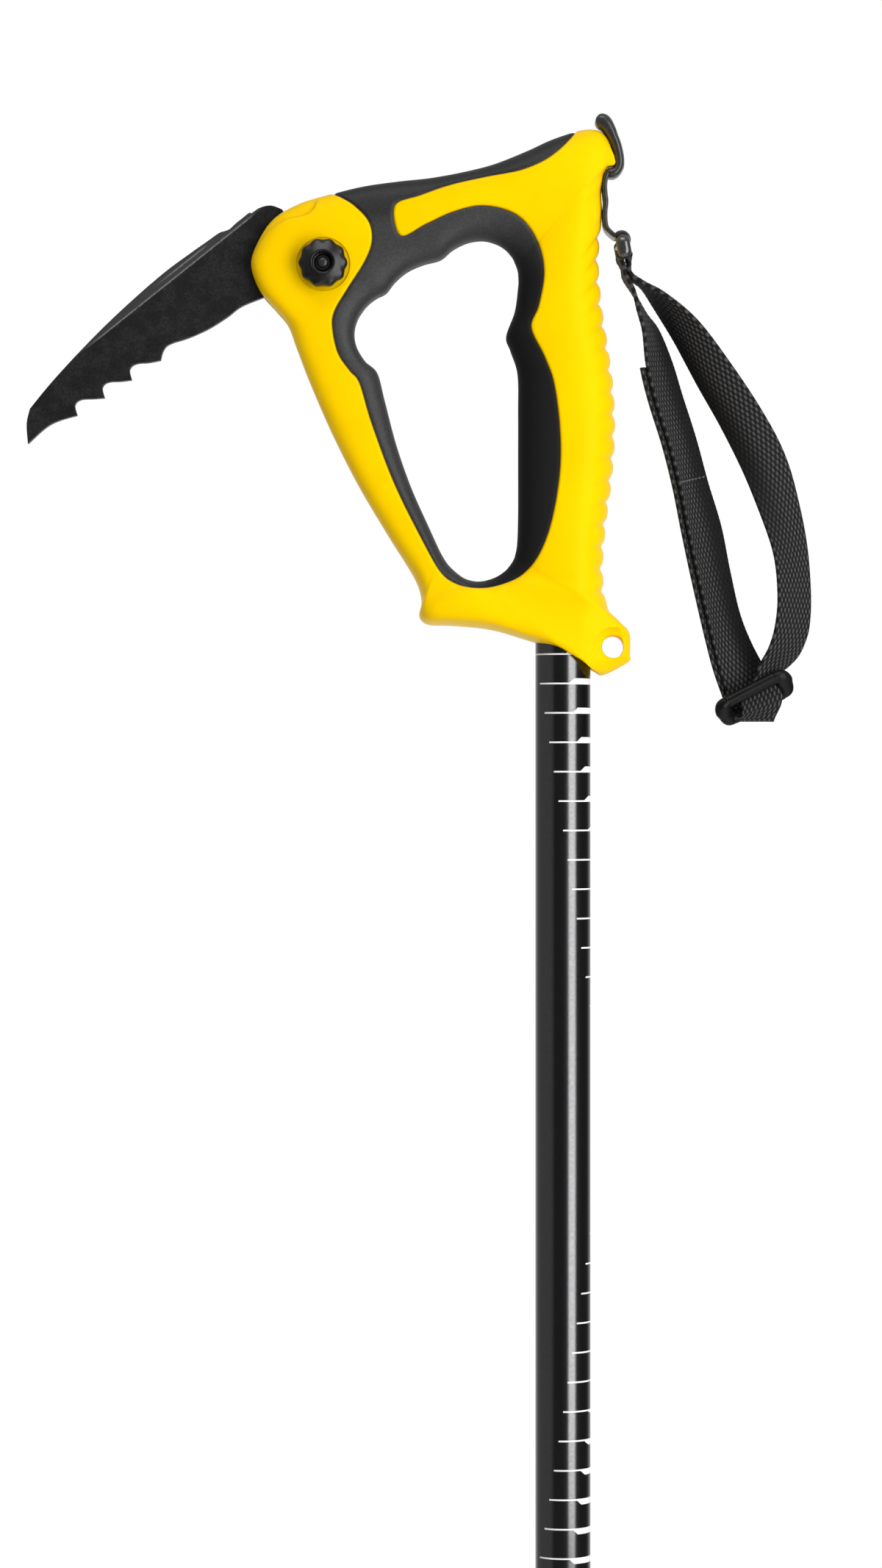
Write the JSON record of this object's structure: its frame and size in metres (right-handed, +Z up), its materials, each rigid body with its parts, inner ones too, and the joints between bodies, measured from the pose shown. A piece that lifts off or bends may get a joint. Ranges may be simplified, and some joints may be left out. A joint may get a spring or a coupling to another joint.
{
  "type": "self-arrest pole",
  "caption": "Telescopic pole with a D-shaped moulded handle, a toothed steel pick that folds into the handle's strut, a clamp knob, a wrist strap and a snow basket.",
  "frame": {"origin": "in the palm: on the pole's axis, half way up the handle's rear limb", "axes": "+Z up along the pole, the pick points to -X, the clamp knob faces -Y"},
  "size_m": [0.2567, 0.0716, 0.6857],
  "materials": {
    "yellow_shell": "satin moulded nylon",
    "grip_rubber": "matte fine grain",
    "pick_steel": "black coated steel, mottled",
    "black_plastic": "semi-gloss black",
    "hardware_steel": "plain steel",
    "link_steel": "black coated wire",
    "insert_brass": "turned brass",
    "webbing": "black woven nylon",
    "shaft_black": "satin black anodised",
    "shaft_grey": "satin anodised"
  },
  "bodies": {
    "handle": {"grip_body": "yellow_shell", "grip_overmould": "grip_rubber", "pivot_bolt": "hardware_steel", "pick_washer_front": "hardware_steel", "pick_washer_back": "hardware_steel", "strap_cap": "black_plastic", "strap_cap_screw": "hardware_steel", "strap_tether": "black_plastic", "upper_tube": "shaft_black", "shaft_top_plug": "black_plastic", "upper_lock_collar": "black_plastic", "upper_lock_pin": "hardware_steel", "upper_lock_screw": "hardware_steel"},
    "pick": {"pick": "pick_steel"},
    "knob": {"clamp_knob": "black_plastic", "knob_insert": "insert_brass"},
    "strap": {"strap_link": "link_steel", "wrist_strap": "webbing", "strap_slider": "black_plastic"},
    "upper_lever": {"upper_lock_lever": "black_plastic"},
    "middle_section": {"middle_tube": "shaft_grey", "middle_tube_stop": "black_plastic", "lower_lock_collar": "black_plastic", "lower_lock_pin": "hardware_steel", "lower_lock_screw": "hardware_steel"},
    "lower_lever": {"lower_lock_lever": "black_plastic"},
    "lower_section": {"lower_tube": "shaft_grey", "lower_tube_stop": "black_plastic", "tip_ferrule": "black_plastic", "basket": "black_plastic", "spike_tip": "hardware_steel"}
  },
  "joints": [
    {"name": "pick_fold", "type": "hinge", "parent": "handle", "child": "pick", "pos_m": [-0.078, 0, 0.047], "axis": [0, -1, 0], "range_deg": [0, 77.5]},
    {"name": "knob_turn", "type": "hinge", "parent": "handle", "child": "knob", "pos_m": [-0.078, 0, 0.047], "axis": [0, -1, 0], "range_deg": [0, 360]},
    {"name": "strap_swing", "type": "hinge", "parent": "handle", "child": "strap", "pos_m": [0.019, 0, 0.0557], "axis": [0, -1, 0], "range_deg": [0, 95]},
    {"name": "upper_lever_open", "type": "hinge", "parent": "handle", "child": "upper_lever", "pos_m": [0.01608, -0.00693, -0.404], "axis": [0, 0, -1], "range_deg": [0, 130]},
    {"name": "middle_slide", "type": "slide", "parent": "handle", "child": "middle_section", "axis": [0, 0, -1], "range_m": [0, 0.34]},
    {"name": "lower_lever_open", "type": "hinge", "parent": "middle_section", "child": "lower_lever", "pos_m": [0.01551, -0.00611, -0.47], "axis": [0, 0, -1], "range_deg": [0, 130]},
    {"name": "lower_slide", "type": "slide", "parent": "middle_section", "child": "lower_section", "axis": [0, 0, -1], "range_m": [0, 0.36]}
  ]
}
